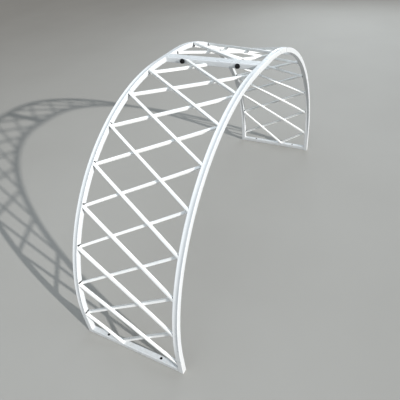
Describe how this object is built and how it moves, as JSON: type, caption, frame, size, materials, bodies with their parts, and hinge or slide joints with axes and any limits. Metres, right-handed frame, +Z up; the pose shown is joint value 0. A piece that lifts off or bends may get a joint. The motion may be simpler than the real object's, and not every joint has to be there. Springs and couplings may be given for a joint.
{
  "type": "garden arch",
  "caption": "Free-standing garden arch of white painted steel: square-tube rails with a diagonal lattice, in two bolted halves with a foot bar at each end.",
  "frame": {"origin": "on the ground, midway between the two feet and midway across, straight under the crown seam", "axes": "+X across the arch, +Y along its span from half A to half B, +Z up"},
  "size_m": [0.53, 1.9744, 1.01],
  "materials": {
    "frame_paint": "white gloss outdoor paint on welded steel tube",
    "slat_paint": "white gloss outdoor paint on square steel bar",
    "black_steel": "black-coated steel, satin"
  },
  "bodies": {
    "root": {"half_a_left_rail": "frame_paint", "half_a_right_rail": "frame_paint", "half_a_foot_bar": "frame_paint", "half_a_crown_bar": "frame_paint", "half_a_outer_slat_01": "slat_paint", "half_a_outer_slat_02": "slat_paint", "half_a_outer_slat_03": "slat_paint", "half_a_outer_slat_04": "slat_paint", "half_a_outer_slat_05": "slat_paint", "half_a_outer_slat_06": "slat_paint", "half_a_outer_slat_07": "slat_paint", "half_a_outer_slat_08": "slat_paint", "half_a_outer_slat_09": "slat_paint", "half_a_inner_slat_01": "slat_paint", "half_a_inner_slat_02": "slat_paint", "half_a_inner_slat_03": "slat_paint", "half_a_inner_slat_04": "slat_paint", "half_a_inner_slat_05": "slat_paint", "half_a_inner_slat_06": "slat_paint", "half_a_inner_slat_07": "slat_paint", "half_a_inner_slat_08": "slat_paint", "half_a_inner_slat_09": "slat_paint", "half_b_left_rail": "frame_paint", "half_b_right_rail": "frame_paint", "half_b_foot_bar": "frame_paint", "half_b_crown_bar": "frame_paint", "half_b_outer_slat_01": "slat_paint", "half_b_outer_slat_02": "slat_paint", "half_b_outer_slat_03": "slat_paint", "half_b_outer_slat_04": "slat_paint", "half_b_outer_slat_05": "slat_paint", "half_b_outer_slat_06": "slat_paint", "half_b_outer_slat_07": "slat_paint", "half_b_outer_slat_08": "slat_paint", "half_b_outer_slat_09": "slat_paint", "half_b_inner_slat_01": "slat_paint", "half_b_inner_slat_02": "slat_paint", "half_b_inner_slat_03": "slat_paint", "half_b_inner_slat_04": "slat_paint", "half_b_inner_slat_05": "slat_paint", "half_b_inner_slat_06": "slat_paint", "half_b_inner_slat_07": "slat_paint", "half_b_inner_slat_08": "slat_paint", "half_b_inner_slat_09": "slat_paint", "left_bolt": "black_steel", "left_nut": "black_steel", "left_head_washer": "black_steel", "left_nut_washer": "black_steel", "right_bolt": "black_steel", "right_nut": "black_steel", "right_head_washer": "black_steel", "right_nut_washer": "black_steel"}
  },
  "joints": []
}
